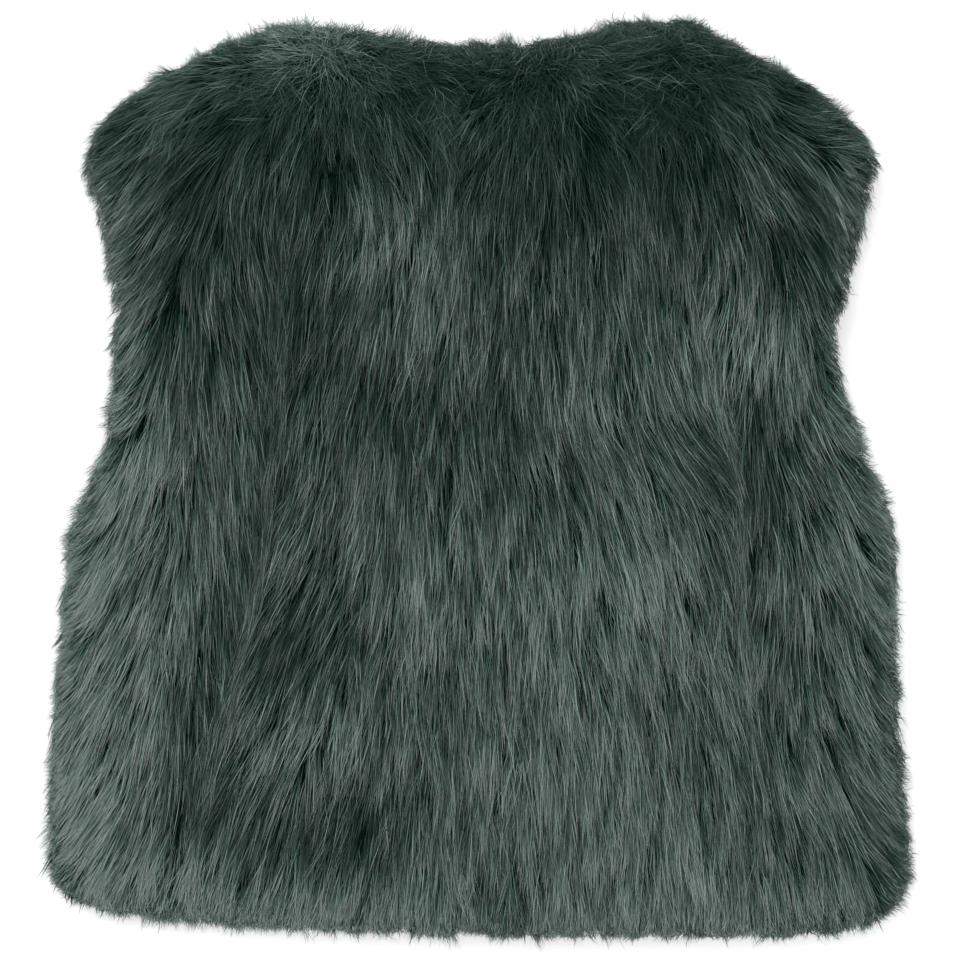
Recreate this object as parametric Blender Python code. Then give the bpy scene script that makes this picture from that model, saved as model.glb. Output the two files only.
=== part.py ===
"""A cropped long-pile faux fur vest that lies flat on its front, with its back upwards.

Five cut pieces: three panels of the back lie on two fronts that meet at the centre front. Each is one wall,
knit backing and pile together, that reaches as far as the fur does. The neck points to +Y, the hem to -Y,
and the vest rests on Z = 0.
"""

import math
from collections import namedtuple

import bmesh
import bpy
import numpy as np

# Driving dimensions, in metres
LOWER_LOFT = 0.020        # the front's pile, pressed flat under the back
UPPER_LOFT = 0.024        # the back's pile, over the middle of the body
SHOULDER_LOFT = 0.006     # what the fur stands higher by at the shoulders
HEM_SETTLE = 0.004        # what it lies lower by at the hem
SEAM_GAP = 0.0003         # between two pieces at a seam, and between the layers
BLUNT_EDGE = 0.0012       # how thick the fur still is at its outermost edge
UPPER_ROUND = 0.034       # how far in from the edge the back's pile reaches its full height
LOWER_ROUND = 0.014       # the same for the front's pile
CENTRE_FRONT_ROUND = 0.006
CENTRE_FRONT_GROOVE = 0.005
SEAM_VALLEY = 0.0035      # depth of the valley where the nap runs together at a seam of the back
SEAM_VALLEY_WIDTH = 0.011
LOCK_HEIGHT = 0.0034      # height of the locks in the pile
LOCK_PITCH = 0.036        # from lock to lock across the nap
LOCK_LENGTH = 0.095       # and along it
LOCK_WANDER = 0.011       # how far a row of locks strays sideways
WANDER_LENGTH = 0.210     # over what length it does so
LOCK_STAGGER = 2.4        # radians by which each row of locks is set off from the last
NAP_SPREAD = 0.35         # how strongly the nap leans out towards the hem
NAP_LINE = 0.300          # Y from where it leans
TUFT_REACH = 0.0022       # how far the tufts at the edge stand out and in
TUFT_PITCH = 0.041
FRONT_ARMHOLE_INSET = 0.008       # how much deeper the front's armhole is cut
NECK_POINT_TURN = 0.004           # where the shoulder turns into the front's neckline
CROSS_STEP = 0.0095       # spacing of the walls' points across the nap
ALONG_STEP = 0.0125       # and along it
CURVE_SAMPLES = 12        # straight runs to each stretch of a smooth curve
ROUNDING_PARTS = (0.0, 0.06, 0.22, 0.50, 1.0)   # places of the points across a rounded edge
CREASE_ANGLE = math.radians(50)

LAYER_PLANE = LOWER_LOFT + SEAM_GAP / 2
SHOULDER_LINE = 0.190     # Y of the highest fur across the shoulders
HEM_LINE = -0.240
SETTLE_REACH = 0.110
ARMHOLE_RANGE = (-0.010, 0.185)   # Y from the foot of the armhole to the shoulder tip

Point = namedtuple("Point", "name x y")

LEFT_EDGE = [
    Point("shoulder_tip", -0.2400, 0.1910),
    Point("armhole_top", -0.2310, 0.1560),
    Point("armhole_upper", -0.2240, 0.1130),
    Point("armhole_middle", -0.2220, 0.0760),
    Point("armhole_lower", -0.2245, 0.0380),
    Point("armhole_foot", -0.2320, 0.0060),
    Point("underarm", -0.2470, -0.0240),
    Point("side_upper", -0.2530, -0.0780),
    Point("side_middle", -0.2580, -0.1350),
    Point("side_lower", -0.2605, -0.1950),
    Point("side_hem", -0.2600, -0.2400),
]
RIGHT_EDGE = [
    Point("shoulder_tip", 0.2420, 0.1910),
    Point("armhole_top", 0.2310, 0.1560),
    Point("armhole_upper", 0.2220, 0.1130),
    Point("armhole_middle", 0.2160, 0.0780),
    Point("armhole_lower", 0.2230, 0.0430),
    Point("armhole_foot", 0.2370, 0.0060),
    Point("underarm", 0.2500, -0.0240),
    Point("side_upper", 0.2510, -0.0780),
    Point("side_middle", 0.2530, -0.1350),
    Point("side_lower", 0.2570, -0.1950),
    Point("side_hem", 0.2585, -0.2420),
]
TOP_EDGE = [
    Point("left_shoulder_tip", -0.2400, 0.1910),
    Point("left_shoulder_outer", -0.2280, 0.2200),
    Point("left_shoulder_middle", -0.1960, 0.2430),
    Point("left_shoulder_inner", -0.1560, 0.2640),
    Point("left_hump", -0.1160, 0.2760),
    Point("left_neck_point", -0.0740, 0.2730),
    Point("left_neck", -0.0420, 0.2670),
    Point("back_neck", 0.0000, 0.2645),
    Point("right_neck", 0.0480, 0.2680),
    Point("right_neck_point", 0.0860, 0.2770),
    Point("right_hump", 0.1260, 0.2780),
    Point("right_shoulder_inner", 0.1580, 0.2610),
    Point("right_shoulder_middle", 0.1930, 0.2430),
    Point("right_shoulder_outer", 0.2260, 0.2170),
    Point("right_shoulder_tip", 0.2420, 0.1910),
]
HEM_EDGE = [
    Point("left_side_hem", -0.2600, -0.2400),
    Point("left_corner", -0.2440, -0.2540),
    Point("left_hem", -0.2040, -0.2630),
    Point("left_middle", -0.1300, -0.2700),
    Point("centre_left", -0.0500, -0.2735),
    Point("centre", 0.0300, -0.2755),
    Point("centre_right", 0.1100, -0.2760),
    Point("right_hem", 0.1900, -0.2745),
    Point("right_corner", 0.2400, -0.2670),
    Point("right_side_hem", 0.2585, -0.2420),
]
LEFT_SEAM = [
    Point("shoulder", -0.1260, 0.2750),
    Point("shoulder_blade", -0.1220, 0.1820),
    Point("chest", -0.1190, 0.1090),
    Point("waist", -0.1240, 0.0170),
    Point("hip", -0.1360, -0.0780),
    Point("below_hip", -0.1580, -0.1520),
    Point("hem", -0.1740, -0.2660),
]
RIGHT_SEAM = [
    Point("shoulder", 0.1260, 0.2780),
    Point("shoulder_blade", 0.1220, 0.1820),
    Point("chest", 0.1290, 0.1090),
    Point("waist", 0.1500, 0.0100),
    Point("hip", 0.1580, -0.0780),
    Point("below_hip", 0.1670, -0.1520),
    Point("hem", 0.1770, -0.2750),
]
CENTRE_FRONT = [
    Point("front_neck", 0.0000, 0.1650),
    Point("chest", 0.0000, 0.0200),
    Point("hem", 0.0000, -0.2750),
]
FRONT_NECK = [
    Point("neck_point", -0.0800, 0.2680),
    Point("neck_side", -0.0640, 0.2240),
    Point("neck_turn", -0.0360, 0.1840),
    Point("front_neck", 0.0000, 0.1650),
]


class Line:
    """A smooth line through named points, read at a fraction of its length."""

    def __init__(self, xy):
        self.xy = np.asarray(xy, float)
        steps = np.linalg.norm(np.diff(self.xy, axis=0), axis=1)
        self.reached = np.concatenate([[0.0], np.cumsum(steps)])
        self.length = self.reached[-1]

    @classmethod
    def through(cls, points):
        """A Catmull-Rom curve through the points of a table."""
        marks = [np.array((point.x, point.y)) for point in points]
        marks = [2 * marks[0] - marks[1]] + marks + [2 * marks[-1] - marks[-2]]
        xy = [marks[1]]
        for before, start, end, after in zip(marks, marks[1:], marks[2:], marks[3:]):
            for step in range(1, CURVE_SAMPLES + 1):
                t = step / CURVE_SAMPLES
                bend = (2 * before - 5 * start + 4 * end - after) * t ** 2
                twist = (3 * start - before - 3 * end + after) * t ** 3
                xy.append((2 * start + (end - before) * t + bend + twist) / 2)
        return cls(xy)

    def at(self, fraction):
        """The point at a fraction of the length, from 0 to 1."""
        along = fraction * self.length
        x = np.interp(along, self.reached, self.xy[:, 0])
        y = np.interp(along, self.reached, self.xy[:, 1])
        return np.array((x, y))

    def between(self, x_from, x_to):
        """The stretch from one X to another, on a line that runs to +X."""
        start = np.interp(x_from, self.xy[:, 0], self.reached)
        end = np.interp(x_to, self.xy[:, 0], self.reached)
        inner = (self.reached > start + 1e-6) & (self.reached < end - 1e-6)
        ends = [self.at(along / self.length) for along in (start, end)]
        return Line([ends[0], *self.xy[inner], ends[1]])

    def x_at(self, y):
        """X at a height Y, on a line that runs to -Y."""
        return np.interp(-y, -self.xy[:, 1], self.xy[:, 0])

    def moved(self, dx):
        """The line shifted sideways."""
        return Line(self.xy + (dx, 0.0))

    def mirrored(self):
        """The line mirrored across the centre front."""
        return Line(self.xy * (-1.0, 1.0))


def tufted(line, phase):
    """The edge with its tufts: it swings out and in by an uneven wave along its length."""
    tangent = np.gradient(line.xy, axis=0)
    tangent /= np.linalg.norm(tangent, axis=1)[:, None]
    normal = np.stack([-tangent[:, 1], tangent[:, 0]], axis=1)
    turns = 2 * math.pi * line.reached / TUFT_PITCH
    swing = 0.6 * np.sin(turns + phase) + 0.4 * np.sin(math.sqrt(3) * turns + 2 * phase)
    ends = np.minimum(line.reached, line.length - line.reached) / TUFT_PITCH
    swing *= np.clip(ends, 0.0, 1.0)
    return Line(line.xy + normal * (TUFT_REACH * swing)[:, None])


def stations(length, step, start_round, end_round):
    """Fractions of a length: close together where an end is rounded over, even between."""
    head = [part * start_round for part in ROUNDING_PARTS] if start_round else [0.0]
    tail = [length - part * end_round for part in reversed(ROUNDING_PARTS)] if end_round else [length]
    runs = max(1, round((tail[0] - head[-1]) / step))
    middle = [head[-1] + (tail[0] - head[-1]) * run / runs for run in range(1, runs)]
    return [place / length for place in head + middle + tail]


def edge_distance(edges, x, y):
    """How far a point lies from the nearest of some edges."""
    nearest = math.inf
    for edge in edges:
        starts = edge.xy[:-1]
        runs = edge.xy[1:] - starts
        offset = (x, y) - starts
        part = np.clip((offset * runs).sum(1) / np.maximum((runs ** 2).sum(1), 1e-12), 0.0, 1.0)
        gap = offset - runs * part[:, None]
        nearest = min(nearest, math.sqrt((gap ** 2).sum(1).min()))
    return nearest


def roundness(distance, radius):
    """Share of the full height at a distance in from a rounded edge."""
    short = 1.0 - min(distance / radius, 1.0)
    return math.sqrt(1.0 - short * short)


def bump(value, centre, reach):
    """A smooth hump of height 1 about a centre."""
    return math.exp(-((value - centre) / reach) ** 2)


def locks(x, y):
    """Relief of the pile, from 0 to 1: staggered rows of long locks that lean out with the nap."""
    across = x - NAP_SPREAD * x * (NAP_LINE - y)
    across += LOCK_WANDER * math.sin(2 * math.pi * y / WANDER_LENGTH + 2 * x / LOCK_LENGTH)
    row = math.floor(across / LOCK_PITCH)
    crest = math.sin(math.pi * (across / LOCK_PITCH - row))
    swell = 0.5 + 0.5 * math.sin(2 * math.pi * y / LOCK_LENGTH + LOCK_STAGGER * row)
    return crest * swell


def back_height(x, y, distance, seams):
    """Z of the back's outer face."""
    loft = UPPER_LOFT
    loft += SHOULDER_LOFT * bump(y, SHOULDER_LINE, SETTLE_REACH)
    loft -= HEM_SETTLE * bump(y, HEM_LINE, SETTLE_REACH)
    for seam in seams:
        loft -= SEAM_VALLEY * bump(x, seam.x_at(y), SEAM_VALLEY_WIDTH)
    loft += LOCK_HEIGHT * locks(x, y)
    body = (loft - BLUNT_EDGE) * roundness(distance, UPPER_ROUND)
    return LAYER_PLANE + SEAM_GAP / 2 + BLUNT_EDGE + body


def front_height(x, distance):
    """Z of the front's outer face, which lies on the ground: 0 but for its rounded edges."""
    face = LOWER_LOFT - BLUNT_EDGE
    outer = face * (1.0 - roundness(distance, LOWER_ROUND))
    centre = CENTRE_FRONT_GROOVE * (1.0 - roundness(abs(x), CENTRE_FRONT_ROUND))
    return max(outer, centre)


def patch(sides, u, v):
    """A point inside four lines: left and right run from top to hem, top and hem from left to right."""
    left, right, top, hem = sides
    across = (1 - u) * left.at(v) + u * right.at(v)
    down = (1 - v) * top.at(u) + v * hem.at(u)
    upper = (1 - u) * top.at(0) + u * top.at(1)
    lower = (1 - u) * hem.at(0) + u * hem.at(1)
    return across + down - ((1 - v) * upper + v * lower)


def panel(name, sides, rounds, height, inner_z, colour):
    """One cut piece: a shaped outer face, a plain inner face, and the wall's edge between them."""
    left, right, top, hem = sides
    left_round, right_round, end_round = rounds
    width = (top.length + hem.length) / 2
    depth = (left.length + right.length) / 2
    columns = stations(width, CROSS_STEP, left_round, right_round)
    rows = stations(depth, ALONG_STEP, end_round, end_round)
    mesh = bpy.data.meshes.new(name)
    form = bmesh.new()
    bmesh.ops.create_grid(form, x_segments=len(columns) - 1, y_segments=len(rows) - 1, size=0.5)
    for vertex in form.verts:
        column = round((vertex.co.x + 0.5) * (len(columns) - 1))
        row = round((0.5 - vertex.co.y) * (len(rows) - 1))
        x, y = patch(sides, columns[column], rows[row])
        vertex.co = (x, y, height(x, y))
    rim = [edge for edge in form.edges if edge.is_boundary]
    wall = bmesh.ops.extrude_edge_only(form, edges=rim)["geom"]
    for item in wall:
        if isinstance(item, bmesh.types.BMVert):
            item.co.z = inner_z
    inner_rim = [edge for edge in form.edges if edge.is_boundary]
    bmesh.ops.triangle_fill(form, use_beauty=True, edges=inner_rim)
    bmesh.ops.recalc_face_normals(form, faces=form.faces)
    form.to_mesh(mesh)
    form.free()
    mesh.shade_smooth()
    mesh.set_sharp_from_angle(angle=CREASE_ANGLE)
    mesh.materials.append(fur_material(name, colour))
    piece = bpy.data.objects.new(name, mesh)
    vest.objects.link(piece)
    return piece


def fur_material(name, colour):
    """Dark green fur: soft, with no gloss."""
    material = bpy.data.materials.new(name + "_fur")
    material.use_nodes = True
    shader = material.node_tree.nodes["Principled BSDF"]
    shader.inputs["Base Color"].default_value = (*colour, 1.0)
    shader.inputs["Roughness"].default_value = 0.85
    shader.inputs["Metallic"].default_value = 0.0
    return material


def build_back():
    """The three panels of the back, split at the two seams."""
    outline = [tufted(Line.through(LEFT_EDGE), 0.4), tufted(Line.through(RIGHT_EDGE), 1.9)]
    outline += [tufted(Line.through(TOP_EDGE), 3.0), tufted(Line.through(HEM_EDGE), 5.2)]
    left_edge, right_edge, top_edge, hem_edge = outline
    seams = [Line.through(LEFT_SEAM), Line.through(RIGHT_SEAM)]
    half_gap = SEAM_GAP / 2

    def height(x, y):
        return back_height(x, y, edge_distance(outline, x, y), seams)

    def trimmed(seam, shift):
        """The seam as one panel's edge, ended on the shoulder and the hem."""
        line = seam.moved(shift)
        top_end = top_edge.between(line.xy[0, 0], top_edge.xy[-1, 0]).xy[0]
        hem_end = hem_edge.between(line.xy[-1, 0], hem_edge.xy[-1, 0]).xy[0]
        return Line([top_end, *line.xy[1:-1], hem_end])

    bounds = [left_edge]
    for seam in seams:
        bounds += [trimmed(seam, -half_gap), trimmed(seam, half_gap)]
    bounds.append(right_edge)
    inner_z = LAYER_PLANE + half_gap
    table = [
        ("back_side_left", 0, (UPPER_ROUND, 0.0, UPPER_ROUND), (0.030, 0.061, 0.052)),
        ("back_centre", 2, (0.0, 0.0, UPPER_ROUND), (0.042, 0.064, 0.056)),
        ("back_side_right", 4, (0.0, UPPER_ROUND, UPPER_ROUND), (0.046, 0.068, 0.060)),
    ]
    for name, first, rounds, colour in table:
        left, right = bounds[first], bounds[first + 1]
        top = top_edge.between(left.xy[0, 0], right.xy[0, 0])
        hem = hem_edge.between(left.xy[-1, 0], right.xy[-1, 0])
        panel(name, (left, right, top, hem), rounds, height, inner_z, colour)


def front_sides(side_edge, top_edge, hem_edge):
    """The four lines of the front at -X: side, centre front, shoulder with neckline, hem."""
    low, high = ARMHOLE_RANGE
    share = np.clip((side_edge.xy[:, 1] - low) / (high - low), 0.0, 1.0)
    inset = FRONT_ARMHOLE_INSET * np.sin(math.pi * share)
    side = Line(side_edge.xy + np.stack([inset, 0 * inset], axis=1))
    centre = Line.through(CENTRE_FRONT).moved(-SEAM_GAP / 2)
    neck = Line.through(FRONT_NECK)
    neck_end = Line([*neck.xy[:-1], centre.xy[0]])
    shoulder = top_edge.between(side.xy[0, 0], neck.xy[0, 0] - NECK_POINT_TURN)
    top = Line([*shoulder.xy, *neck_end.xy])
    hem = hem_edge.between(side.xy[-1, 0], centre.xy[-1, 0])
    centre = Line([*centre.xy[:-1], hem.xy[-1]])
    return side, centre, top, hem


def build_fronts():
    """The two fronts under the back, which meet at the centre front."""
    left_edge = Line.through(LEFT_EDGE)
    right_edge = Line.through(RIGHT_EDGE).mirrored()
    top_edge = Line.through(TOP_EDGE)
    top_mirrored = Line(top_edge.mirrored().xy[::-1])
    hem_edge = Line.through(HEM_EDGE)
    hem_mirrored = Line(hem_edge.mirrored().xy[::-1])
    table = [
        ("front_left", (left_edge, top_edge, hem_edge), 1.0, (0.034, 0.058, 0.050)),
        ("front_right", (right_edge, top_mirrored, hem_mirrored), -1.0, (0.034, 0.058, 0.050)),
    ]
    for name, edges, mirror, colour in table:
        side, centre, top, hem = front_sides(*edges)
        outline = [side, top, hem]
        if mirror < 0:
            side, centre, top, hem = (line.mirrored() for line in (side, centre, top, hem))
            sides = (centre, side, Line(top.xy[::-1]), Line(hem.xy[::-1]))
            rounds = (CENTRE_FRONT_ROUND, LOWER_ROUND, LOWER_ROUND)
        else:
            sides = (side, centre, top, hem)
            rounds = (LOWER_ROUND, CENTRE_FRONT_ROUND, LOWER_ROUND)

        def height(x, y, outline=outline, mirror=mirror):
            return front_height(x, edge_distance(outline, mirror * x, y))

        panel(name, sides, rounds, height, LAYER_PLANE - SEAM_GAP / 2, colour)


def centre_on_origin():
    """Set the middle of the whole outline over the origin."""
    corners = np.array([vertex.co for piece in vest.objects for vertex in piece.data.vertices])
    middle = (corners.min(axis=0) + corners.max(axis=0)) / 2
    for piece in vest.objects:
        piece.location = (-middle[0], -middle[1], 0.0)


for old in list(bpy.data.objects):
    bpy.data.objects.remove(old)
vest = bpy.data.collections.new("faux_fur_vest")
bpy.context.scene.collection.children.link(vest)
build_back()
build_fronts()
centre_on_origin()
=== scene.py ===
"""The looks of a long-pile faux fur vest that lies flat on its front, seen from straight above.

Each panel is a thin knit cloth with dense underfur and combed hair on it. The hair is ribbons that follow
the nap, which runs out from whorls at the shoulders and the neck and meets along the back's seams.
"""

import math
from collections import namedtuple

import bpy
import numpy as np
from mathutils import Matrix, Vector
from mathutils.bvhtree import BVHTree
from mathutils.kdtree import KDTree


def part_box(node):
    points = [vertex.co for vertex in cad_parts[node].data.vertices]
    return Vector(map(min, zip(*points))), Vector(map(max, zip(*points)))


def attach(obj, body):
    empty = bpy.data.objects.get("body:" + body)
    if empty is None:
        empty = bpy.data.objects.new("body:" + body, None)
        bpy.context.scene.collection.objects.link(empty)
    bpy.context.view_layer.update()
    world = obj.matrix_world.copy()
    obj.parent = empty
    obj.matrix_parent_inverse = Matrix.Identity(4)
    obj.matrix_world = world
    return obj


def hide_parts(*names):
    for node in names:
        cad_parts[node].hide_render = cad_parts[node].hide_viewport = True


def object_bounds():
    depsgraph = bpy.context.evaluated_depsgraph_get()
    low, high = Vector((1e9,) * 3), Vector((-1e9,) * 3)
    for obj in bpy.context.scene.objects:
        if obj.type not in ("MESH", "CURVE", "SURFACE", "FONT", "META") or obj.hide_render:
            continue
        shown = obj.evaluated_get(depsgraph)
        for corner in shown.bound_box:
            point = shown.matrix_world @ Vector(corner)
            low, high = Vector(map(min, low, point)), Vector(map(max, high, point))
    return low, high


def table(columns, *rows):
    """Rows with named columns."""
    row_of = namedtuple("Row", columns)
    return [row_of(*row) for row in rows]


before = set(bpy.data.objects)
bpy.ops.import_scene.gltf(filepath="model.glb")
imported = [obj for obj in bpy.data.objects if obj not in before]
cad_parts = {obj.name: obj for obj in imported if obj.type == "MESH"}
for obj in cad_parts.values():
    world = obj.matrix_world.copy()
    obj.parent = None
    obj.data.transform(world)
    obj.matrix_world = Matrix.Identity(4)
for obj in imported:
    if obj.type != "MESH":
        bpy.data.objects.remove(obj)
cad_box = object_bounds()

BACK_PANELS = ("back_side_left", "back_centre", "back_side_right")
FRONT_PANELS = ("front_left", "front_right")

# Camera: lens and sensor in millimetres, the rest in metres
LENS = 100.0
SENSOR = 36.0
FRAME_WIDTH = 0.576  # what the picture shows across
SUBJECT_HEIGHT = 0.036  # at this height
CAMERA_OFFSET = (0.0014, -0.0003)

# Soft lights: place and size in metres, power in watts
LIGHTS = table(
    "name place size power",
    ("key", (-0.7, 1.1, 2.0), 1.2, 26.0),
    ("fill", (0.9, -0.7, 2.1), 1.6, 12.0),
)
FLOOR_SIZE = 8.0
WHITE = (1.0, 1.0, 1.0, 1.0)

# The grid that the vest's form is read on, in metres
CELL = 0.002
MARGIN = 0.024
JUST_INSIDE = 1.001  # cells to the grid's end
TINY = 1e-6  # least divisor
LEAST_LENGTH = 1e-12

# Cloth, underfur and the edge of the pile, in metres
CLOTH_THICKNESS = 0.002
CLOTH_INSET = 0.02  # from the reach of the hair
UNDERFUR_INSET = 0.0045
BACK_UNDERFUR = 0.66  # height, as a share of its panel's
FRONT_UNDERFUR = 0.84
ROUND_REACH = 0.034  # width of the pile's rounded edge
LEAST_WAY = 0.2  # least length of the way in
FLOOR_CLEAR = 0.0006
EDGE_FALL = 2.6  # how steeply hair hangs past the edge
EDGE_ROUND = 0.022  # how far in hair faces sideways too
EDGE_FACING = 1.3  # and how much

# Colours on ramps: place, colour
# Plain and frosted hair, root to tip: the hair's own dark base, deepened towards the root as painted shade
# down in the pile
DARK_HAIR = (
    (0.0, (0.0008, 0.0043, 0.003)),
    (0.45, (0.0019, 0.0101, 0.0072)),
    (1.0, (0.0041, 0.0198, 0.0139)),
)
LIGHT_HAIR = (
    (0.0, (0.0025, 0.0129, 0.0094)),
    (0.4, (0.036, 0.09, 0.073)),
    (0.78, (0.278, 0.338, 0.312)),
    (1.0, (0.419, 0.443, 0.426)),
)
TEAL_TO_MAUVE = ((0.0, (0.8, 1.045, 0.97)), (0.25, (1.0, 1.0, 1.0)), (0.5, (1.04, 0.985, 1.015)))
MOTTLED = (
    (0.3, (0.0008, 0.003, 0.0023)),
    (0.55, (0.0025, 0.0085, 0.0066)),
    (0.8, (0.007, 0.018, 0.0145)),
)
WORN_KNIT = ((0.35, (0.012, 0.018, 0.016)), (0.65, (0.024, 0.031, 0.028)))
KNIT_GRAIN = ((0.0, (0.55, 0.55, 0.55)), (1.0, (1.0, 1.0, 1.0)))

# The hair's map: tone across, and length upwards
MAP_EDGE = 0.01  # how far hairs stay from its edge
MAP_WIDTH = 0.014  # of a hair
MAP_SPAN = 1.0 - 2 * MAP_EDGE - MAP_WIDTH
TINTS = 16.0  # swings of the tint to mauve and back
TOP_TEAL = 0.75  # how much nearer to teal hair is at the top

# Hair counts, and where hair roots
BACK_SEED = 100
FRONT_SEED = 200
HAIRS_PER_CLUMP = 5
PIECE_HAIRS = 39000  # at most, in one piece
BACK_HAIR_DENSITY = 0.490e6  # to the square metre
UNDERSIDE_DENSITY = 0.105e6
RIM_HAIRS = 21500  # along the back's edge
FRONT_RIM_HAIRS = 7000
BACK_ROOTS = 0.003  # how far in hair roots, in metres
FRONT_ROOTS = 0.004
RIM_ROOTS = (0.004, 0.016)
EDGE_BAND = (0.005, 0.014)  # how far in it is denser, and how it thins out
EDGE_DENSER = 0.7
MESS_DENSER = 0.9
TOP_RIM_DENSER = 1.5  # at the top
TOP_RIM = (0.19, 0.24)  # Y between which it gets so

# Kinds of hair: length and width in metres, points, degrees that locks turn, pull of locks and of clumps,
# least share of the length, least and most reach over the edge
Kind = namedtuple("Kind", "length width points turn pull gather least over")
BACK_HAIR = Kind(0.056, 0.00048, 4, 5.0, 0.26, 0.45, 0.6, (-0.0015, 0.0085))
BACK_RIM = Kind(0.038, 0.00036, 5, 8.0, 0.62, 0.75, 0.76, (0.0005, 0.0135))
PRESSED_HAIR = Kind(0.05, 0.00115, 4, 5.0, 0.26, 0.45, 0.6, (-0.002, 0.001))
FRONT_RIM = Kind(0.036, 0.00048, 5, 8.0, 0.55, 0.7, 0.6, (0.0, 0.008))
# With its functions of place: nap, unruliness, tone and height
Fur = namedtuple("Fur", (*Kind._fields, "flow", "mess", "tone", "lift"))

# Locks, clumps and hairs, in metres and shares
GUIDE_STEPS = 8
LOCK_WIDTH = 0.0095
LOCK_SQUEEZE = 0.42  # width of a lock over its length
LOCK_LENGTHS = (0.85, 1.1)  # shortest and longest
CLUMP_LENGTHS = (0.8, 1.08)  # to that of the lock
LOCK_SKEW = 1.8  # over 1: few reach far over the edge
CLUMP_OVER = 0.0012  # how unevenly they end over the edge
CLUMP_SPREAD = 0.0017  # how far hairs root from its middle
STRAY = 0.0021  # of a hair's tip from its clump
WAVE = 0.0003  # how far hairs waver
LEAST_REACH = 0.12  # least share of the length
GUARD_SHARE = 0.12  # of long hairs that lie on top
LEVEL_SHARES = (0.55, 0.45)  # of lock and clump in how high hair lies
HAIR_LEVEL = 0.16  # how unevenly high a clump's hairs lie
PILE_LEVELS = (0.6, 1.0)  # lowest and highest hair, by the pile's height
RIM_LEVELS = (0.1, 0.65)  # the same of rim hair: lowest, and how it grows
HANG_LEVELS = (0.35, 0.65)  # and past the edge
HAIR_WIDTHS = (0.6, 1.3)  # finest and thickest
TOP_FINER = 0.22  # how much finer hair is at the top
FINER = (0.12, 0.23)  # Y between which it gets so
ROLL = math.radians(62)  # the most about a hair's own length
# Fraction of the length, and share of the width or the height there
HAIR_SHAPE = ((0.0, 0.8), (0.35, 1.0), (0.75, 0.72), (1.0, 0.0))
CLIMB = ((0.0, 0.32), (0.3, 0.68), (0.65, 0.9), (1.0, 1.0))

# Powers of the fraction of the length: over 1, a change comes late
POINT_POWER = 0.9
PULL_POWER = 1.5
GATHER_POWER = 0.8
STRAY_POWER = 1.5
FRONT_POWER = 1.4

# Unruly hair: 0 is combed, 1 or more is wild
MESS_RISE = (0.185, 0.262)  # Y between which hair gets unruly
TOP_MESS = 0.5
RIM_MESS = (0.15, 0.4)  # along the back's edge: anywhere, more at the top
EVEN_MESS = (0.15, 0.0)  # and all over the fronts
WHORL_MESS = (2.3, 1.6)  # round a whorl, and more at its very middle
PARTING_MESS = 1.3  # where the neck's standing hair parts
PARTING_WIDTH = 0.8
LOCK_MESS_TURN = 20.0  # degrees that locks turn from the nap
CLUMP_TURN = (5.5, 12.0)  # and clumps from their lock: anywhere, more where unruly
MOST_OWN_WAY = 0.85  # how far the wildest hair keeps on as it set out
MESS_SHORTER = 0.35  # how much shorter it is
MESS_STRAY = 0.9  # how much further it strays
MESS_WAVE = 2.4  # and waver

# How light hair is
TOP = (0.15, 0.23)  # Y between which the top's look sets in
LEAST_TONE = 0.02
PAINTED_EDGE_LIGHT = (0.3, -0.55)  # painted light at the edge, where light wraps round the thin edge hair, stronger on the -X side: how much lighter at X = 0, and more with X
PAINTED_EDGE_LIGHT_REACH = 0.011
TOP_EDGE_LOSS = 0.6  # share of that lost at the top
TONE_WANDER = (0.006, 0.013)  # how far off a clump takes its tone, in X and Y
LOCK_TONE = 0.21  # how unevenly light locks are
CLUMP_TONE = 0.28
HAIR_TONE = 0.15
FROSTED = (0.22, 0.5)  # share of frosted hairs: least, and growth with tone
HAIR_DRAW = 0.36  # say of a hair in the draw for that
CLUMP_DRAW = 0.93  # and of its clump
GUARD_DRAW = 0.3  # how much nearer to frost long hairs are
DRAW_SPAN = 2.6  # how far the mark moves, none to all
FROST = (0.2, 1.03)  # a frosted hair's tone: least, and growth
PLAIN = 0.42  # and a plain hair's, to the place's
TOP_EVEN = (0.3, 0.45)  # at the top: how many fewer are frosted, how much lighter the rest is

# How hair turns outwards at the edge
RIM_TURN = 0.05  # how far in rim hair does, in metres
EDGE_TURN = 0.007  # and all other hair
RIM_OUTWARD = (0.75, 1.5)  # how much rim hair does: anywhere, more at the top
EVEN_OUTWARD = (0.9, 0.0)  # and other hair
SHOULDERS = (0.19, 0.25)  # Y between which both grow
TUFT = 0.003  # how far tufts stand out
TOP_TUFTS = 0.6  # how much further at the top
# Waves of the tufts and the waves that bend them: radians to the metre, and starts
RIPPLES = table(
    "name x y bend_x bend_y start_x start_y",
    ("wide", 330.0, 350.0, 130.0, 150.0, 0.0, 1.0),
    ("fine", 830.0, 790.0, 370.0, 410.0, 0.5, 0.0),
)
RIPPLE_BENDS = (2.0, 2.2)  # in radians

# The fronts' hair: degrees, metres, and radians to the metre
FRONT_LEAN = 26.0  # the most to each side
FRONT_LEAN_REACH = 0.16
FRONT_SWAY = (4.0, 17.0, 26.0)  # how far it wavers, how fast in X and Y
FRONT_TONE = (0.42, 0.08)  # and how far it wavers
FRONT_TONE_RATES = (31.0, 11.0, 23.0)
FRONT_ROOT_DROP = 0.007  # how far under the cloth rim hair roots
FRONT_TIP_RISE = 0.014  # how high it ends at most
PRESSED_RISE = 0.003  # how high pressed hair lies
PRESSED_FALL = 0.6  # share of that lost to its tip

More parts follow.
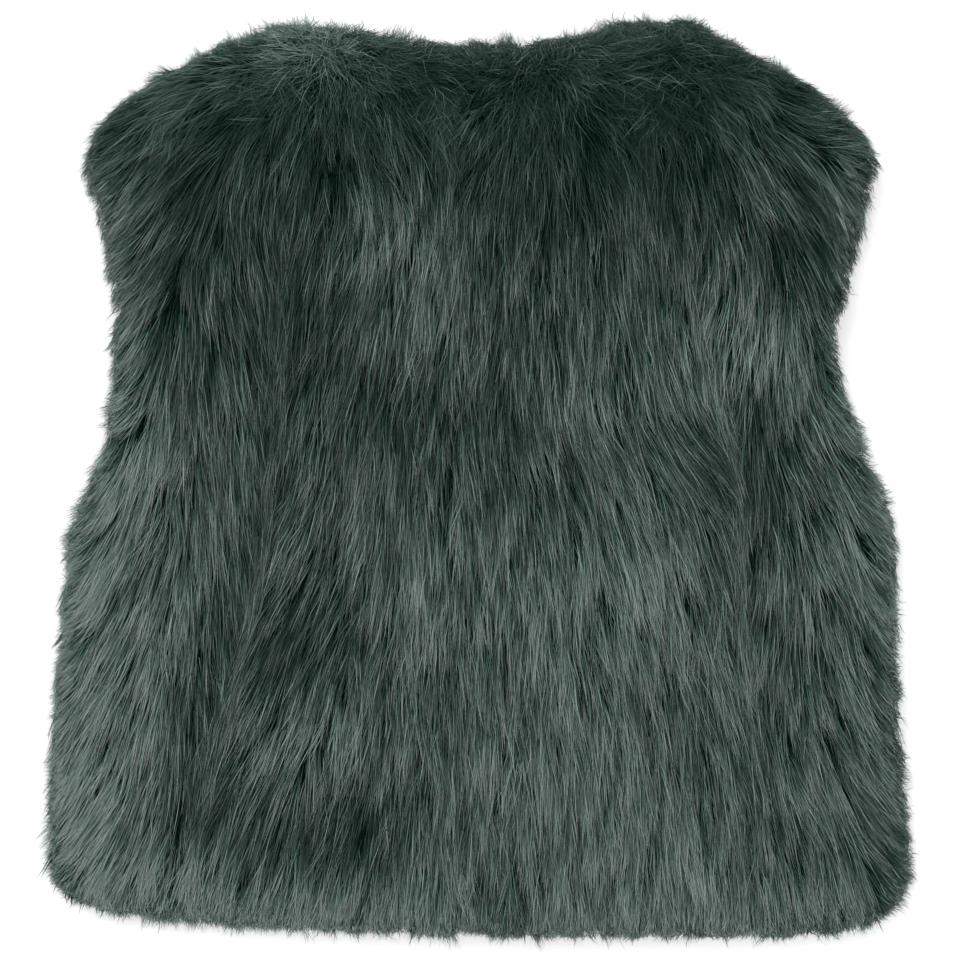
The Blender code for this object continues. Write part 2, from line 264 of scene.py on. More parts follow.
# Where hair fans out: middle, how steeply it falls, how far above that it turns up more
WHORLS = table(
    "name x y drop rise",
    ("left_shoulder", -0.09, 0.26, 1.6, 0.02),
    ("neck_tuft", 0.038, 0.25, 1.6, 0.008),
    ("right_shoulder", 0.127, 0.25, 1.05, 0.02),
)
WHORL_BORDERS = (-0.021, 0.102)
BORDER_BLEND = 0.032
WHORL_WIDTH = 0.024
WHORL_EYE = 0.003  # how far above the middle its hair parts
WHORL_REACH = (0.13, 0.19)  # Y between which they take over from the panels' nap
NECK_BAND = 0.016  # how far below the neck's edge hair stands up
NECK_FADE = (0.35, 1.25)  # shares of that between which it stops to
NECK_ENDS = (0.14, 0.185)  # how far to each side that goes on
NECK_RISE = 1.5
# How the band wavers: radians to the metre, start, size
NECK_SWAYS = table("rate start size", (61.0, 1.0, 0.42), (137.0, 0.0, 0.3))
SEAM_BLEND = 0.006  # how far to each side naps mix

# Where hair reaches further over the edge, or less far: middle, reach, how much
REACHES = table(
    "name x y wide high more",
    ("left_corner", -0.262, -0.235, 0.036, 0.04, 0.0075),
    ("left_shoulder", -0.232, 0.212, 0.034, 0.034, 0.0052),
    ("left_armhole", -0.222, 0.118, 0.02, 0.03, -0.001),
    ("left_waist", -0.222, 0.055, 0.02, 0.04, 0.0015),
    ("left_hip", -0.244, -0.014, 0.02, 0.025, 0.0025),
    ("neck", 0.01, 0.262, 0.09, 0.03, -0.001),
    ("left_top", -0.195, 0.238, 0.048, 0.03, 0.0045),
    ("left_peak", -0.134, 0.275, 0.02, 0.016, 0.0065),
    ("right_peak", 0.138, 0.272, 0.02, 0.016, 0.0035),
    ("right_top", 0.207, 0.23, 0.034, 0.034, 0.0054),
    ("right_armhole_top", 0.23, 0.16, 0.022, 0.022, -0.0065),
    ("right_armhole_low", 0.216, 0.084, 0.026, 0.03, -0.0075),
    ("right_waist", 0.238, 0.02, 0.024, 0.03, 0.007),
    ("right_side", 0.254, -0.07, 0.022, 0.09, -0.0032),
    ("right_corner", 0.258, -0.24, 0.02, 0.03, 0.0034),
    ("left_side", -0.258, -0.118, 0.024, 0.09, 0.0038),
    ("hem_left", -0.22, -0.262, 0.03, 0.02, -0.0018),
    ("hem_right", 0.16, -0.28, 0.06, 0.02, -0.0015),
)

# How the naps fan out: Y, the X where they run straight down, degrees to the metre
LEFT_FAN = table(
    "y axis slope",
    (0.3, -0.15, 1400), (0.145, -0.155, 1400), (0.1, -0.178, 1100), (0.0, -0.174, 740),
    (-0.1, -0.172, 620), (-0.17, -0.172, 490), (-0.22, -0.14, 330), (-0.3, -0.13, 300),
)
CENTRE_FAN = table(
    "y axis slope",
    (0.3, 0.03, 80), (0.1, 0.04, 95), (0.05, 0.02, 120), (0.02, -0.06, 230), (-0.02, -0.045, 300),
    (-0.08, -0.026, 340), (-0.16, -0.03, 240), (-0.24, -0.02, 150), (-0.3, 0.01, 140),
)
RIGHT_FAN = table(
    "y axis slope",
    (0.3, 0.13, 480), (0.17, 0.133, 480), (0.145, 0.15, 480), (0.1, 0.178, 480), (0.03, 0.165, 480),
    (0.0, 0.145, 480), (-0.04, 0.174, 480), (-0.1, 0.188, 480), (-0.16, 0.16, 480),
    (-0.22, 0.16, 480), (-0.3, 0.17, 480),
)
# How far the centre nap leans towards its right seam
CENTRE_RISE = table(
    "y degrees",
    (0.15, 14), (0.1, 24), (0.03, 30), (-0.03, 18), (-0.08, 11), (-0.12, 14), (-0.2, 4), (-0.3, -1),
)
RISE_WIDTH = 0.16  # how far right of its axis it does
RISE_POWER = 1.4
LEFT_IN_SLOPE = 300  # right of the left panel's axis
MOST_LEAN = {"left_out": 50, "left_in": 14, "centre": 38, "right": 36}

# Painted sheen and shade: lighter places where the hair lies flat and catches the light, darker ones where
# it stands up and parts and lies in shadow; middle, reach, how much lighter
SHEEN_AND_SHADE_PATCHES = table(
    "name x y wide high tone",
    ("chest", -0.048, 0.139, 0.036, 0.03, 0.4),
    ("chest_low", -0.024, 0.09, 0.027, 0.026, 0.33),
    ("right_chest", 0.146, 0.078, 0.052, 0.032, 0.54),
    ("right_chest_edge", 0.177, 0.073, 0.02, 0.02, 0.14),
    ("left_edge", -0.222, -0.084, 0.034, 0.042, 0.35),
    ("waist_right", 0.096, -0.066, 0.05, 0.034, 0.26),
    ("hip_left", -0.102, -0.158, 0.066, 0.02, 0.51),
    ("left_waist", -0.162, 0.024, 0.036, 0.024, 0.18),
    ("back_middle", 0.072, 0.048, 0.032, 0.026, 0.52),
    ("lower_right", 0.066, -0.21, 0.078, 0.046, 0.09),
    ("hem_left", -0.15, -0.249, 0.076, 0.012, 0.64),
    ("neck", -0.004, 0.238, 0.036, 0.022, -0.12),
    ("right_shoulder", 0.108, 0.212, 0.04, 0.042, -0.1),
    ("right_armhole", 0.178, 0.13, 0.018, 0.024, -0.17),
    ("left_armhole", -0.183, 0.098, 0.022, 0.052, -0.09),
    ("middle", -0.036, 0.036, 0.036, 0.024, -0.26),
    ("left_low", -0.108, -0.102, 0.04, 0.036, -0.57),
    ("hem", -0.102, -0.216, 0.062, 0.03, -0.43),
    ("hem_right", -0.064, -0.208, 0.022, 0.034, -0.28),
    ("streak", 0.018, 0.01, 0.008, 0.024, -0.27),
    ("right_band", 0.174, 0.004, 0.042, 0.015, -0.3),
    ("lower_right_dark", 0.186, -0.146, 0.022, 0.016, -0.4),
    ("lower_right_band", 0.166, -0.194, 0.026, 0.05, -0.14),
    ("left_hip_edge", -0.24, -0.195, 0.026, 0.055, 1.01),
    ("left_waist_edge", -0.219, 0.037, 0.026, 0.05, 0.57),
    ("right_waist_edge", 0.22, 0.033, 0.026, 0.05, 0.31),
    ("left_low_band", -0.158, -0.161, 0.026, 0.05, -0.47),
    ("left_sleeve_edge", -0.223, 0.152, 0.026, 0.05, 0.13),
    ("right_low_band", 0.151, -0.068, 0.026, 0.05, -0.24),
    ("hem_middle", 0.011, -0.266, 0.026, 0.05, -0.36),
    ("right_sleeve_edge", 0.234, 0.181, 0.022, 0.034, 0.32),
    ("left_low_edge", -0.25, -0.11, 0.024, 0.05, 0.32),
    ("left_shoulder_top", -0.102, 0.266, 0.034, 0.02, 0.77),
    ("right_hip", 0.245, -0.104, 0.026, 0.05, -0.19),
    ("left_waist_lighter", -0.183, 0.001, 0.02, 0.02, 0.24),
    ("right_hem", 0.252, -0.233, 0.026, 0.05, -0.37),
    ("right_chest_darker", 0.205, 0.116, 0.022, 0.034, -0.27),
    ("middle_hip", -0.028, -0.129, 0.045, 0.026, -0.29),
    ("left_waist_darker", -0.122, -0.028, 0.026, 0.05, -0.11),
    ("right_yoke", 0.173, 0.181, 0.022, 0.034, 0.32),
    ("chest_right", 0.115, 0.083, 0.02, 0.02, -0.41),
    ("left_yoke", -0.187, 0.242, 0.026, 0.05, 0.15),
    ("left_chest", -0.111, 0.094, 0.026, 0.05, -0.14),
    ("left_hip", -0.241, -0.068, 0.02, 0.02, 0.51),
)
# Tone between those places, down the back: darker at the top, partly the hair's dark roots showing and
# partly painted shade where the raised hair there lies in shadow
TONES = table(
    "y tone",
    (0.28, 0.12), (0.216, 0.12), (0.168, 0.15), (0.132, 0.25), (0.096, 0.31), (0.048, 0.27),
    (0.0, 0.4), (-0.048, 0.5), (-0.096, 0.63), (-0.168, 0.55), (-0.24, 0.6), (-0.29, 0.56),
)


def smooth(low, high, value):
    """0 below low, 1 above high, eased between."""
    part = np.clip((value - low) / (high - low), 0.0, 1.0)
    return part * part * (3.0 - 2.0 * part)


def read(rows, column, y):
    """A column of a table whose rows run to -Y, read at Y."""
    rows = rows[::-1]
    return np.interp(y, [row.y for row in rows], [getattr(row, column) for row in rows])


def unit(across, along, least=TINY):
    """A way of length 1, from one no shorter than the least."""
    size = np.maximum(np.hypot(across, along), least)
    return across / size, along / size


def soft_limit(value, most):
    """The value, eased to stay under the most."""
    return most * np.tanh(value / most)


def add_object(name, data):
    """An object in the scene."""
    thing = bpy.data.objects.new(name, data)
    bpy.context.scene.collection.objects.link(thing)
    return thing


def make_camera():
    """The camera, straight above, the hem at the bottom."""
    data = bpy.data.cameras.new("camera")
    data.lens = LENS
    data.sensor_width = SENSOR
    camera = add_object("camera", data)
    camera.location = (*CAMERA_OFFSET, SUBJECT_HEIGHT + FRAME_WIDTH * LENS / SENSOR)
    bpy.context.scene.camera = camera


class Form:
    """The vest's form on a grid: its panels, outer height, and way in from the edge."""

    def __init__(self, panels, from_above):
        low, high = cad_box
        self.x0 = low.x - MARGIN
        self.y0 = low.y - MARGIN
        self.columns = int((high.x - low.x + 2 * MARGIN) / CELL) + 1
        self.rows = int((high.y - low.y + 2 * MARGIN) / CELL) + 1
        self.owner = np.full((self.rows, self.columns), -1)
        height = self.close_gaps(self.cast_rays(panels, from_above))
        self.inner_z = panel_inner_z(panels[0], from_above)
        self.distance = self.way_in(self.owner >= 0)
        self.height = self.extended(height, from_above)
        inward_y, inward_x = np.gradient(self.distance, CELL)
        self.inward_x, self.inward_y = softened(inward_x, 2), softened(inward_y, 2)
        self.slope_y, self.slope_x = np.gradient(softened(self.height, 1), CELL)

    def cast_rays(self, panels, from_above):
        """Finds each cell's panel and its outer height, with rays down, or up from below."""
        low, high = cad_box
        height = np.zeros(self.owner.shape)
        start_z = high.z + MARGIN if from_above else low.z - MARGIN
        way = Vector((0, 0, -1 if from_above else 1))
        for number, name in enumerate(panels):
            tree = tree_of(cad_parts[name].data)
            for row, column in np.ndindex(height.shape):
                start = Vector((self.x0 + column * CELL, self.y0 + row * CELL, start_z))
                hit = tree.ray_cast(start, way)[0]
                if hit is not None:
                    self.owner[row, column] = number
                    height[row, column] = hit.z
        return height

    def close_gaps(self, height):
        """Gives cells right between two panels to one of them."""
        for axis in (0, 1):
            before, after = np.roll(self.owner, 1, axis), np.roll(self.owner, -1, axis)
            gap = (self.owner < 0) & (before >= 0) & (after >= 0)
            self.owner = np.where(gap, before, self.owner)
            between = (np.roll(height, 1, axis) + np.roll(height, -1, axis)) / 2
            height = np.where(gap, between, height)
        return height

    def way_in(self, covered):
        """Distance in from the edge at each cell, and less than 0 outside it."""
        inner = covered.copy()
        for axis in (0, 1):
            for step in (-1, 1):
                inner &= np.roll(covered, step, axis)
        edge = np.argwhere(covered & ~inner)
        tree = point_tree(edge[:, ::-1] * CELL)
        away = np.zeros(covered.shape)
        for row, column in np.ndindex(covered.shape):
            away[row, column] = tree.find((column * CELL, row * CELL, 0.0))[2]
        return softened(np.where(covered, away, -away), 1)

    def extended(self, height, from_above):
        """The outer height, carried on past the edge, where hair hangs over it."""
        if from_above:
            beyond = self.inner_z + EDGE_FALL * np.minimum(self.distance, 0.0)
            return np.maximum(np.where(self.owner >= 0, height, beyond), FLOOR_CLEAR)
        return np.where(self.owner >= 0, height, self.inner_z)

    def at(self, grid, x, y):
        """A grid's value between its cells."""
        column = np.clip((x - self.x0) / CELL, 0, self.columns - JUST_INSIDE)
        row = np.clip((y - self.y0) / CELL, 0, self.rows - JUST_INSIDE)
        c, r = column.astype(int), row.astype(int)
        fc, fr = column - c, row - r
        lower = grid[r, c] * (1 - fc) + grid[r, c + 1] * fc
        upper = grid[r + 1, c] * (1 - fc) + grid[r + 1, c + 1] * fc
        return lower * (1 - fr) + upper * fr

    def inward_at(self, x, y):
        """The way in from the edge at a place, along X and Y."""
        return self.at(self.inward_x, x, y), self.at(self.inward_y, x, y)

    def distance_at(self, x, y):
        """How far in from the edge a place is."""
        return self.at(self.distance, x, y)


def softened(grid, rounds):
    """The grid, each cell averaged with its neighbours."""
    for _ in range(rounds):
        padded = np.pad(grid, 1, mode="edge")
        rows = (padded[:-2] + 2 * padded[1:-1] + padded[2:]) / 4
        grid = (rows[:, :-2] + 2 * rows[:, 1:-1] + rows[:, 2:]) / 4
    return grid


def point_tree(points):
    """A search tree of points on the plane."""
    tree = KDTree(len(points))
    for number, point in enumerate(points):
        tree.insert((*point, 0.0), number)
    tree.balance()
    return tree


def tree_of(mesh):
    """A search tree of a solid's faces."""
    corners = [vertex.co.copy() for vertex in mesh.vertices]
    return BVHTree.FromPolygons(corners, [tuple(face.vertices) for face in mesh.polygons])


def panel_inner_z(name, from_above):
    """Z of the inner face, where the two layers meet."""
    low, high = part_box(name)
    return low.z if from_above else high.z


def way_from_whorls(x, y):
    """The way that hair takes from the whorls, across and down."""
    ways = []
    for whorl in WHORLS:
        across = x - whorl.x
        below = (np.maximum(whorl.y - y, -whorl.rise) + WHORL_EYE) * whorl.drop
        ways.append(np.stack(unit(across, below)))
    way = ways[0]
    for border, further in zip(WHORL_BORDERS, ways[1:]):
        past = smooth(border - BORDER_BLEND, border + BORDER_BLEND, x)
        way = way * (1 - past) + further * past
    return way


def lean_on_panels(x, y):
    """The same of the panels' own nap."""
    left_off = x - read(LEFT_FAN, "axis", y)
    centre_off = x - read(CENTRE_FAN, "axis", y)
    right_off = x - read(RIGHT_FAN, "axis", y)
    left = soft_limit(np.minimum(left_off, 0) * read(LEFT_FAN, "slope", y), MOST_LEAN["left_out"])
    left += soft_limit(np.maximum(left_off, 0) * LEFT_IN_SLOPE, MOST_LEAN["left_in"])
    right = soft_limit(right_off * read(RIGHT_FAN, "slope", y), MOST_LEAN["right"])
    centre = soft_limit(np.minimum(centre_off, 0) * read(CENTRE_FAN, "slope", y), MOST_LEAN["centre"])
    centre += read(CENTRE_RISE, "degrees", y) * (np.maximum(centre_off, 0) / RISE_WIDTH) ** RISE_POWER
    past_left = smooth(-SEAM_BLEND, SEAM_BLEND, x - seam_x("left", y))
    past_right = smooth(-SEAM_BLEND, SEAM_BLEND, x - seam_x("right", y))
    lean = left * (1 - past_left) + centre * past_left
    return lean * (1 - past_right) + right * past_right


def nap(x, y):
    """Degrees by which the back's hair leans from straight down, towards +X."""
    lean = np.radians(lean_on_panels(x, y))
    whorl_across, whorl_below = way_from_whorls(x, y)
    share = smooth(*WHORL_REACH, y)
    across = np.sin(lean) * (1 - share) + whorl_across * share
    below = np.cos(lean) * (1 - share) + whorl_below * share
    below = below - NECK_RISE * upright(x, y)
    return np.degrees(np.arctan2(across, below))


def below_neck(x, y):
    """How far below the neck's edge a place is, in widths of its band, and 1 along the neck, 0 past it."""
    width = 1.0
    for sway in NECK_SWAYS:
        width = width + sway.size * np.sin(sway.rate * x + sway.start)
    below = (np.interp(x, edge_columns, edge_tops) - y) / (NECK_BAND * width)
    return below, 1.0 - smooth(*NECK_ENDS, np.abs(x))


def upright(x, y):
    """How much the hair stands up over the neck's edge, up to 1."""
    below, share = below_neck(x, y)
    return (1.0 - smooth(*NECK_FADE, below)) * share


def seam_x(side, y):
    """X of a seam of the back at Y, read from where the panels meet."""
    return np.interp(y, seam_rows, seam_places[side])


def find_top(form):
    """Reads the top edge's line from the grid."""
    columns = np.flatnonzero((form.owner >= 0).any(axis=0))
    tops = [np.flatnonzero(form.owner[:, column] >= 0)[-1] for column in columns]
    return form.x0 + columns * CELL, form.y0 + np.array(tops) * CELL


def find_seams(form):
    """Reads the two seams' lines from the grid."""
    rows, left, right = [], [], []
    for row in range(form.rows):
        owned = form.owner[row]
        centre = np.flatnonzero(owned == 1)
        if len(centre) and (owned == 0).any() and (owned == 2).any():
            rows.append(form.y0 + row * CELL)
            left.append(form.x0 + (centre[0] - 0.5) * CELL)
            right.append(form.x0 + (centre[-1] + 0.5) * CELL)
    return rows, {"left": left, "right": right}


def tone_and_painted_light_at(x, y):
    """How light the pile is at a place, from 0 to 1, with the painted sheen and shade in it."""
    tone = read(TONES, "tone", y)
    for patch in SHEEN_AND_SHADE_PATCHES:
        reach = ((x - patch.x) / patch.wide) ** 2 + ((y - patch.y) / patch.high) ** 2
        tone = tone + patch.tone * np.exp(-reach)
    return tone


def reach_at(x, y):
    """How much further than usual hair reaches over the edge."""
    more = np.zeros(np.shape(x))
    for spot in REACHES:
        more = more + spot.more * np.exp(-((x - spot.x) / spot.wide) ** 2 - ((y - spot.y) / spot.high) ** 2)
    return more


def tuft_at(x, y):
    """How far tufts stand out over the edge, or it falls back between them."""
    ripples = 0.0
    for ripple in RIPPLES:
        across = np.sin(ripple.x * x + RIPPLE_BENDS[0] * np.sin(ripple.bend_y * y) + ripple.start_x)
        along = np.sin(ripple.y * y + RIPPLE_BENDS[1] * np.sin(ripple.bend_x * x) + ripple.start_y)
        ripples = ripples + 0.5 * (across + along)
    return TUFT * ripples * (1.0 + TOP_TUFTS * smooth(*SHOULDERS, y))


def near_whorl(x, y):
    """How near a place is to the middle of a whorl, up to 1."""
    near = np.zeros(np.shape(x))
    for whorl in WHORLS:
        near = np.maximum(near, np.exp(-((x - whorl.x) ** 2 + (y - whorl.y) ** 2) / WHORL_WIDTH ** 2))
    return near


def mess_over_back(x, y):
    """How unruly the back's hair is: most along the neck and in the whorls."""
    below, share = below_neck(x, y)
    parting = np.exp(-((below - 1.0) / PARTING_WIDTH) ** 2) * share
    near = near_whorl(x, y)
    whorl_mess = WHORL_MESS[0] * near + WHORL_MESS[1] * near ** 3
    return TOP_MESS * smooth(*MESS_RISE, y) + whorl_mess + PARTING_MESS * parting


def rising(least, more, low, high):
    """A function of place: its least value, and more once Y has gone from low to high."""
    return lambda x, y: least + more * smooth(low, high, y)


def front_nap(x, y):
    """Degrees by which the fronts' hair leans from straight down."""
    size, rate_x, rate_y = FRONT_SWAY
    return FRONT_LEAN * np.tanh(x / FRONT_LEAN_REACH) + size * np.sin(rate_y * y + rate_x * x)


def front_tone(x, y):
    """Lightness of the fronts' hair."""
    rate_x, rate_y, cross_rate = FRONT_TONE_RATES
    return FRONT_TONE[0] + FRONT_TONE[1] * np.sin(rate_x * x + rate_y * y) * np.cos(cross_rate * y)


def draw_roots(form, count, weight, random):
    """Roots for clumps, drawn at random over the grid by weight."""
    chance = weight.ravel() / weight.sum()
    cells = random.choice(len(chance), size=count, p=chance)
    row, column = np.divmod(cells, form.columns)
    x = form.x0 + (column + random.uniform(-0.5, 0.5, count)) * CELL
    y = form.y0 + (row + random.uniform(-0.5, 0.5, count)) * CELL
    return x, y


def comb(form, x, y, turn, length, fur):
    """Paths over the vest's form from each root: (roots, points, 2). Unruly hair keeps on as it set out."""
    path = [np.stack([x, y], axis=1)]
    own_way = np.minimum(fur.mess(x, y), MOST_OWN_WAY)
    first = np.radians(fur.flow(x, y) + turn)
    run = length * (1.0 - MESS_SHORTER * own_way) / GUIDE_STEPS
    for _ in range(GUIDE_STEPS):
        lean = np.radians(fur.flow(x, y) + turn)
        dx = np.sin(lean) * (1.0 - own_way) + np.sin(first) * own_way
        dy = -np.cos(lean) * (1.0 - own_way) - np.cos(first) * own_way
        dx, dy = unit(dx, dy)
        slope = form.at(form.slope_x, x, y) * dx + form.at(form.slope_y, x, y) * dy
        advance = run / np.sqrt(1.0 + slope * slope)
        x, y = x + dx * advance, y + dy * advance
        path.append(np.stack([x, y], axis=1))
    return np.stack(path, axis=1)


def along_path(path, part):
    """Points on each path at a fraction of its length: part is (paths, points)."""
    steps = path.shape[1] - 1
    place = np.clip(part * steps, 0, steps - TINY)
    step = place.astype(int)
    share = (place - step)[..., None]
    rows = np.arange(len(path))[:, None]
    return path[rows, step] * (1 - share) + path[rows, step + 1] * share


def nearest_lock(x, y, lock_x, lock_y):
    """The nearest lock's number for each clump. Locks are longer than wide along Y."""
    tree = point_tree(np.stack([lock_x, lock_y * LOCK_SQUEEZE], axis=1))
    return np.array([tree.find((x[k], y[k] * LOCK_SQUEEZE, 0.0))[1] for k in range(len(x))])


def ended_at_edge(form, path, over):
    """Each path, cut off where it is over the edge by its own measure."""
    steps = path.shape[1] - 1
    beyond = form.distance_at(path[..., 0], path[..., 1]) + over[:, None] < 0
    beyond[:, 0] = False
    first = np.where(beyond.any(axis=1), beyond.argmax(axis=1), steps)
    before = np.maximum(first - 1, 0)
    rows = np.arange(len(path))
    near = form.distance_at(path[rows, before, 0], path[rows, before, 1]) + over
    far = form.distance_at(path[rows, first, 0], path[rows, first, 1]) + over
    share = np.clip(near / np.maximum(near - far, TINY), 0.0, 1.0)
    reach = np.where(beyond.any(axis=1), (before + share) / steps, 1.0)
    parts = np.linspace(0, 1, steps + 1)[None] * np.maximum(reach, LEAST_REACH)[:, None]
    return along_path(path, parts)


def clump_guides(form, x, y, random, fur):
    """Each clump's path, tone and level in the pile, drawn towards its lock."""
    span_x, span_y = form.columns * CELL, form.rows * CELL
    count = int(span_x * span_y * LOCK_SQUEEZE / LOCK_WIDTH ** 2)
    lock_x = form.x0 + random.uniform(0, 1, count) * span_x
    lock_y = form.y0 + random.uniform(0, 1, count) * span_y
    lock_turn = random.normal(0, 1, count) * (fur.turn + LOCK_MESS_TURN * fur.mess(lock_x, lock_y))
    lock_tone = random.normal(0, LOCK_TONE, count)
    lock_level = random.uniform(0, 1, count)
    lock_over = fur.over[0] + (fur.over[1] - fur.over[0]) * random.uniform(0, 1, count) ** LOCK_SKEW
    lock_length = fur.length * random.uniform(*LOCK_LENGTHS, count)
    lock_path = comb(form, lock_x, lock_y, lock_turn, lock_length, fur)
    lock = nearest_lock(x, y, lock_x, lock_y)
    most_turn = CLUMP_TURN[0] + CLUMP_TURN[1] * fur.mess(x, y)
    turn = lock_turn[lock] + random.normal(0, 1, len(x)) * most_turn
    length = lock_length[lock] * random.uniform(*CLUMP_LENGTHS, len(x))
    path = comb(form, x, y, turn, length, fur)
    pull = fur.pull * np.linspace(0, 1, GUIDE_STEPS + 1) ** PULL_POWER
    path = path * (1 - pull[None, :, None]) + lock_path[lock] * pull[None, :, None]
    crossing = ended_at_edge(form, path, np.zeros(len(x)))[:, -1]
    over = lock_over[lock] + random.normal(0, CLUMP_OVER, len(x))
    over = over + reach_at(*crossing.T) + tuft_at(*crossing.T)
    path = ended_at_edge(form, path, over)
    tone = lock_tone[lock] + random.normal(0, CLUMP_TONE, len(x))
    level = LEVEL_SHARES[0] * lock_level[lock] + LEVEL_SHARES[1] * random.uniform(0, 1, len(x))
    return path, tone, level


def strewn(guides, guard, random, fur):
    """Paths of hairs round their guides, and their points' fractions of the length."""
    count = len(guides)
    part = np.linspace(0, 1, fur.points) ** POINT_POWER
    reach = np.where(guard, 1.0, random.uniform(fur.least, 1.0, count))
    path = along_path(guides, part[None] * reach[:, None])
    offset = random.normal(0, CLUMP_SPREAD, (count, 2))
    gather = 1.0 - fur.gather * part ** GATHER_POWER
    path = path + offset[:, None] * gather[None, :, None]
    unruly = np.minimum(fur.mess(path[:, 0, 0], path[:, 0, 1]), 1.0)
    loose = STRAY * (1.0 + MESS_STRAY * unruly)
    stray = random.normal(0, 1, (count, 2)) * loose[:, None]
    path = path + stray[:, None] * (part ** STRAY_POWER)[None, :, None]
    wavy = (1.0 + MESS_WAVE * unruly)[:, None, None]
    path[:, 1:] += random.normal(0, WAVE, path[:, 1:].shape) * wavy
    return path, part


def hair_tones(form, path, guard, clump, guide_tone, random, fur):
    """How light each hair is: by its place, with painted light along the edge, and frosted or plain by a
    draw.
    """
    clumps = len(guide_tone)
    middle, end = path[:, fur.points // 2], path[:, -1]
    wander = random.normal(0, 1, (clumps, 2))[clump] * TONE_WANDER
    tone = fur.tone(*(middle + wander).T)
    top = smooth(*TOP, middle[:, 1])
    # painted light along the edge, where light wraps round the thin edge hair; less of it at the top
    at_edge = np.exp(-np.maximum(form.distance_at(*end.T), 0.0) / PAINTED_EDGE_LIGHT_REACH)
    at_edge = at_edge * (1.0 - TOP_EDGE_LOSS * top)
    tone = np.maximum(tone, LEAST_TONE) + at_edge * (PAINTED_EDGE_LIGHT[0] + PAINTED_EDGE_LIGHT[1] * end[:, 0])
    draw = HAIR_DRAW * random.normal(0, 1, len(clump)) + CLUMP_DRAW * random.normal(0, 1, clumps)[clump]
    draw = draw + np.where(guard, GUARD_DRAW, 0.0)
    share = (FROSTED[0] + FROSTED[1] * tone) * (1.0 - TOP_EVEN[0] * top)
    frosted = FROST[0] + FROST[1] * tone
    plain = (PLAIN + TOP_EVEN[1] * top) * tone
    tone = np.where(draw > (0.5 - share) * DRAW_SPAN, frosted, plain)
    tone = tone * np.exp(guide_tone[clump] + random.normal(0, HAIR_TONE, len(clump)))
    return nearer_teal(tone, top)


def nearer_teal(tone, share):
    """The tone, moved by a share to the nearest that has a teal tint."""
    swing = (MAP_EDGE + MAP_WIDTH / 2 + tone * MAP_SPAN) * TINTS
    return tone - (swing - np.round(swing)) * TOP_TEAL * share / (TINTS * MAP_SPAN)


def hairs_on(form, clumps, random, fur):
    """Hairs in their clumps: points, widths, tones and fractions of the length."""
    guides, guide_tone, guide_level = clumps
    clump = np.repeat(np.arange(len(guides)), HAIRS_PER_CLUMP)
    count = len(clump)
    guard = random.uniform(0, 1, count) < GUARD_SHARE
    path, part = strewn(guides[clump], guard, random, fur)
    x, y = path[..., 0], path[..., 1]
    level = np.clip(guide_level[clump] + random.normal(0, HAIR_LEVEL, count), 0, 1)
    z = fur.lift(form, x, y, part, np.where(guard, 1.0, level))
    tone = hair_tones(form, path, guard, clump, guide_tone, random, fur)
    wide = fur.width * (1.0 - TOP_FINER * smooth(*FINER, y[:, 0]))
    shape = np.interp(part, *zip(*HAIR_SHAPE))
    widths = wide[:, None] * shape[None] * random.uniform(*HAIR_WIDTHS, count)[:, None]
    return np.stack([x, y, z], axis=2), widths, tone, part


def rise_over_back(form, x, y, part, level):
    """Z of the back's hair: from the cloth under the pile up to its own level."""
    outer = form.at(form.height, x, y)
    start = form.inner_z + CLOTH_THICKNESS
    climb = np.interp(part, *zip(*CLIMB))
    full = PILE_LEVELS[0] + (PILE_LEVELS[1] - PILE_LEVELS[0]) * level
    z = start + (outer - start) * climb[None] * full[:, None]
    return np.where(outer < start, np.maximum(outer, FLOOR_CLEAR), z)


def hang_over_back(form, x, y, part, level):
    """Z of the hair along the back's edge: out of the lower pile, over the edge and down."""
    outer = form.at(form.height, x, y)
    start = form.inner_z + CLOTH_THICKNESS
    z = start + np.maximum(outer - start, 0.0) * (RIM_LEVELS[0] + RIM_LEVELS[1] * level)[:, None]
    hang = form.inner_z + (outer - form.inner_z) * (HANG_LEVELS[0] + HANG_LEVELS[1] * level)[:, None]
    return np.maximum(np.where(outer < start, hang, z), FLOOR_CLEAR)


def hang_over_front(form, x, y, part, level):
    """Z of the hair along the fronts' edge: from under the cloth, out and down to the ground."""
    start = form.inner_z - CLOTH_THICKNESS - FRONT_ROOT_DROP * level
    end = FLOOR_CLEAR + FRONT_TIP_RISE * (1.0 - level)
    bend = (part ** FRONT_POWER)[None]
    return start[:, None] * (1 - bend) + end[:, None] * bend


def press_under_front(form, x, y, part, level):
    """Z of the hair that the vest lies on, pressed flat on the ground."""
    above = FLOOR_CLEAR + PRESSED_RISE * level[:, None]
    return form.at(form.height, x, y) + above * (1.0 - PRESSED_FALL * part[None])


def turned_out(form, nap_at, outward_share, turn_reach):
    """The nap turned outwards over the edge, within a reach of it."""
    def flow(x, y):
        lean = np.radians(nap_at(x, y))
        inward_x, inward_y = form.inward_at(x, y)
        size = np.maximum(np.hypot(inward_x, inward_y), TINY)
        share = outward_share(x, y) * np.exp(-np.maximum(form.distance_at(x, y), 0.0) / turn_reach)
        dx = np.sin(lean) - share * inward_x / size
        dy = -np.cos(lean) - share * inward_y / size
        return np.degrees(np.arctan2(dx, -dy))
    return flow


